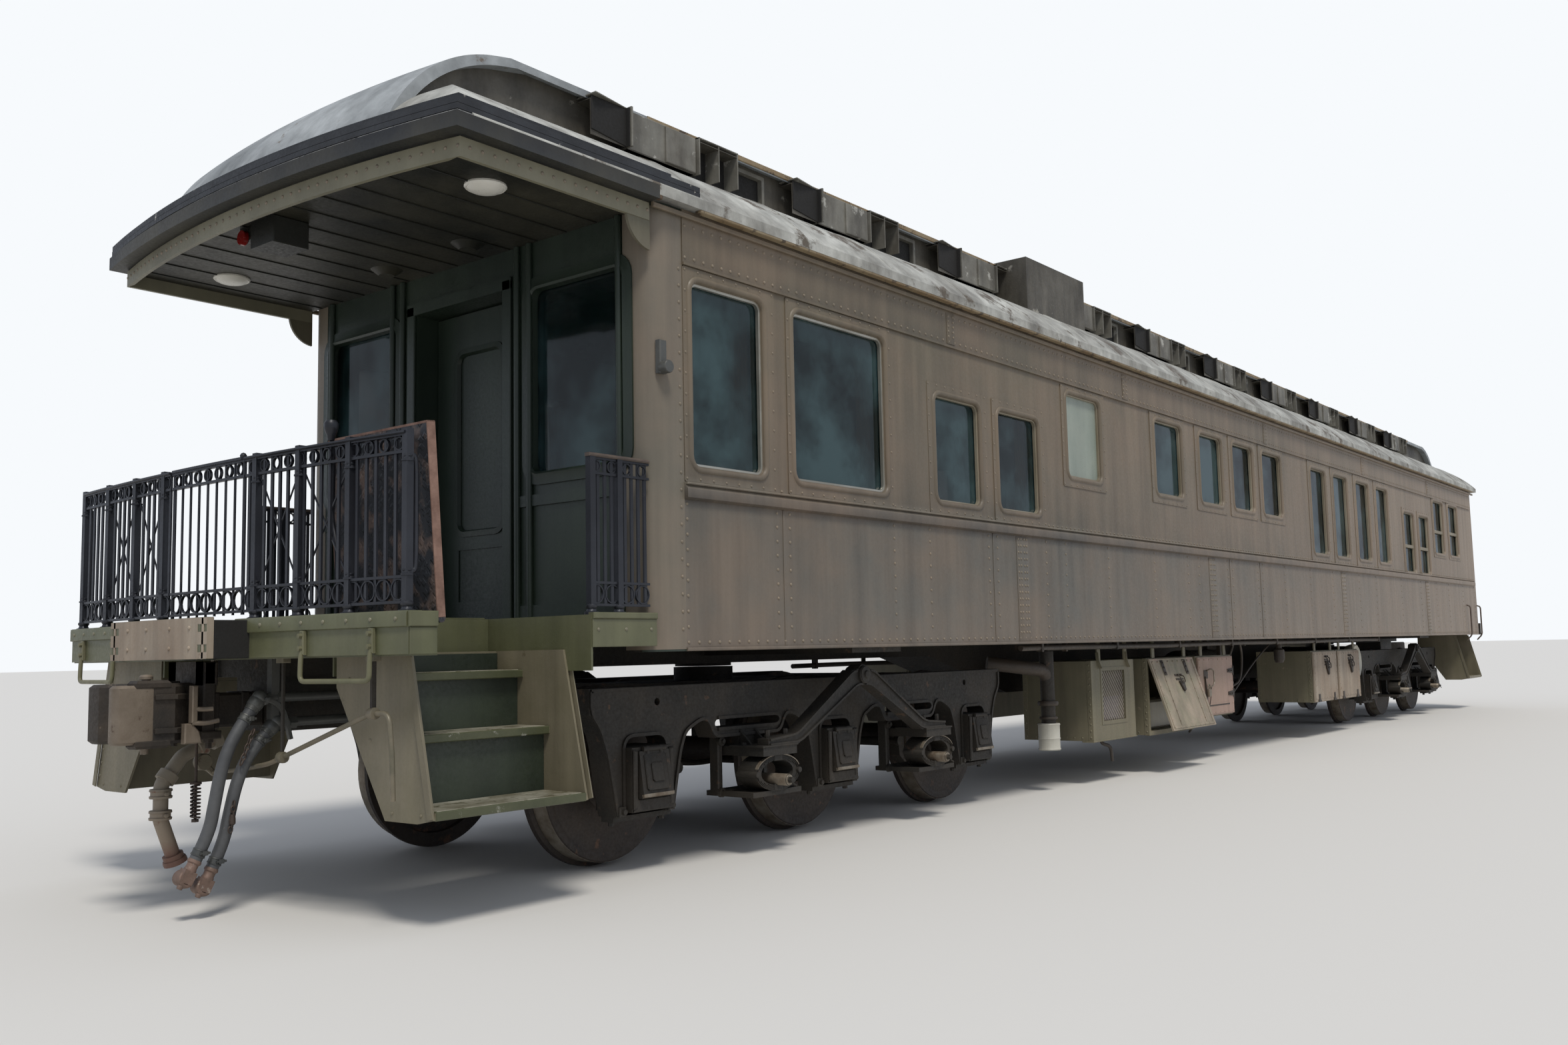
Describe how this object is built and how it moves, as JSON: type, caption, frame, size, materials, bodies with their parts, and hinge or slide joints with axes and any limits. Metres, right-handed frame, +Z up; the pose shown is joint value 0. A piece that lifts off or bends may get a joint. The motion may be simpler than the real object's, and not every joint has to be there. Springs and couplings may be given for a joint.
{
  "type": "railway business car",
  "caption": "Long riveted steel railway coach with a clerestory roof, an open railed platform at one end, underfloor cabinets and two six-wheel trucks.",
  "frame": {"origin": "centre of the footprint, at the level where the wheel flanges stand", "axes": "+X along the car to its closed end, +Z up, -Y is the side with the raised step trap"},
  "size_m": [21.5, 3.2, 4.51],
  "materials": {
    "dark_green": "satin",
    "roof_paint": "matte",
    "grey_paint": "matte",
    "olive_paint": "satin",
    "black_iron": "satin",
    "truck_paint": "matte",
    "wheel_steel": "rough",
    "rusty_steel": "rough",
    "window_glass": "gloss",
    "hose_rubber": "matte"
  },
  "bodies": {
    "car": {"underframe": "truck_paint", "floor": "black_iron", "side_right": "dark_green", "side_left": "dark_green", "end_rear": "dark_green", "end_front": "dark_green", "roof_lower": "roof_paint", "clerestory": "roof_paint", "roof_upper": "grey_paint", "hood_rear": "grey_paint", "hood_front": "grey_paint", "canopy": "dark_green", "roof_gear": "roof_paint", "platform": "olive_paint", "steps_right": "olive_paint", "steps_left": "olive_paint", "steps_front_right": "olive_paint", "steps_front_left": "olive_paint", "uncoupling_lever": "rusty_steel", "steam_connector": "rusty_steel", "box_grille": "rusty_steel", "railing_right": "black_iron", "railing_left": "black_iron", "side_railing_right": "black_iron", "side_railing_left": "black_iron", "glass_right": "window_glass", "glass_left": "window_glass", "glass_ends": "window_glass", "coupler_rear": "rusty_steel", "coupler_front": "rusty_steel", "train_pipes": "truck_paint", "hose_brake": "hose_rubber", "hose_signal": "hose_rubber", "coupling_brake": "rusty_steel", "coupling_signal": "rusty_steel", "underbody_boxes": "olive_paint", "underbody_tanks": "truck_paint"},
    "truck_rear": {"truck_frame_rear": "truck_paint", "truck_gear_rear": "truck_paint"},
    "truck_front": {"truck_frame_front": "truck_paint", "truck_gear_front": "truck_paint"},
    "gate": {"gate": "black_iron"},
    "trap_right": {"trap_right": "rusty_steel"},
    "trap_left": {"trap_left": "rusty_steel"},
    "door_rear": {"door_rear": "dark_green"},
    "door_front": {"door_front": "dark_green"},
    "box_door_ice": {"box_door_ice": "olive_paint"},
    "box_door_lock": {"box_door_lock": "olive_paint"},
    "box_door_pair_1": {"box_door_pair_1": "olive_paint"},
    "box_door_pair_2": {"box_door_pair_2": "olive_paint"},
    "wheelset_1": {"wheelset_1": "wheel_steel"},
    "wheelset_2": {"wheelset_2": "wheel_steel"},
    "wheelset_3": {"wheelset_3": "wheel_steel"},
    "wheelset_4": {"wheelset_4": "wheel_steel"},
    "wheelset_5": {"wheelset_5": "wheel_steel"},
    "wheelset_6": {"wheelset_6": "wheel_steel"}
  },
  "joints": [
    {"name": "truck_rear_swivel", "type": "hinge", "parent": "car", "child": "truck_rear", "pos_m": [-6.765, 0, 1.0375], "axis": [0, 0, 1], "range_deg": [-6, 6]},
    {"name": "truck_front_swivel", "type": "hinge", "parent": "car", "child": "truck_front", "pos_m": [6.8, 0, 1.0375], "axis": [0, 0, 1], "range_deg": [-6, 6]},
    {"name": "wheelset_1_roll", "type": "hinge", "parent": "truck_rear", "child": "wheelset_1", "pos_m": [-8.441, 0, 0.482], "axis": [0, 1, 0], "continuous": true},
    {"name": "wheelset_2_roll", "type": "hinge", "parent": "truck_rear", "child": "wheelset_2", "pos_m": [-6.765, 0, 0.482], "axis": [0, 1, 0], "continuous": true},
    {"name": "wheelset_3_roll", "type": "hinge", "parent": "truck_rear", "child": "wheelset_3", "pos_m": [-5.089, 0, 0.482], "axis": [0, 1, 0], "continuous": true},
    {"name": "wheelset_4_roll", "type": "hinge", "parent": "truck_front", "child": "wheelset_4", "pos_m": [5.124, 0, 0.482], "axis": [0, 1, 0], "continuous": true},
    {"name": "wheelset_5_roll", "type": "hinge", "parent": "truck_front", "child": "wheelset_5", "pos_m": [6.8, 0, 0.482], "axis": [0, 1, 0], "continuous": true},
    {"name": "wheelset_6_roll", "type": "hinge", "parent": "truck_front", "child": "wheelset_6", "pos_m": [8.476, 0, 0.482], "axis": [0, 1, 0], "continuous": true},
    {"name": "gate_swing", "type": "hinge", "parent": "car", "child": "gate", "pos_m": [-10.26591, 0.326, 1.7], "axis": [0, 0, 1], "range_deg": [0, 95]},
    {"name": "trap_right_lift", "type": "hinge", "parent": "car", "child": "trap_right", "pos_m": [-10.052, -1.1525, 1.3], "axis": [0, -1, 0], "range_deg": [-94, 0]},
    {"name": "trap_left_lift", "type": "hinge", "parent": "car", "child": "trap_left", "pos_m": [-10.052, 1.1525, 1.3], "axis": [0, -1, 0], "range_deg": [0, 94]},
    {"name": "door_rear_swing", "type": "hinge", "parent": "car", "child": "door_rear", "pos_m": [-8.61, 0.392, 2.235], "axis": [0, 0, 1], "range_deg": [0, 90]},
    {"name": "door_front_swing", "type": "hinge", "parent": "car", "child": "door_front", "pos_m": [9.968, 0.392, 2.235], "axis": [0, 0, -1], "range_deg": [0, 90]},
    {"name": "box_door_ice_swing", "type": "hinge", "parent": "car", "child": "box_door_ice", "pos_m": [-1.96, -1.314, 0.98], "axis": [-1, 0, 0], "range_deg": [-18, 90]},
    {"name": "box_door_lock_swing", "type": "hinge", "parent": "car", "child": "box_door_lock", "pos_m": [-0.46, -1.314, 0.705], "axis": [0, 0, 1], "range_deg": [0, 110]},
    {"name": "box_door_pair_1_fold", "type": "hinge", "parent": "car", "child": "box_door_pair_1", "pos_m": [2.55, -1.314, 0.42], "axis": [1, 0, 0], "range_deg": [0, 90]},
    {"name": "box_door_pair_2_fold", "type": "hinge", "parent": "car", "child": "box_door_pair_2", "pos_m": [3.49, -1.314, 0.42], "axis": [1, 0, 0], "range_deg": [0, 90]}
  ]
}
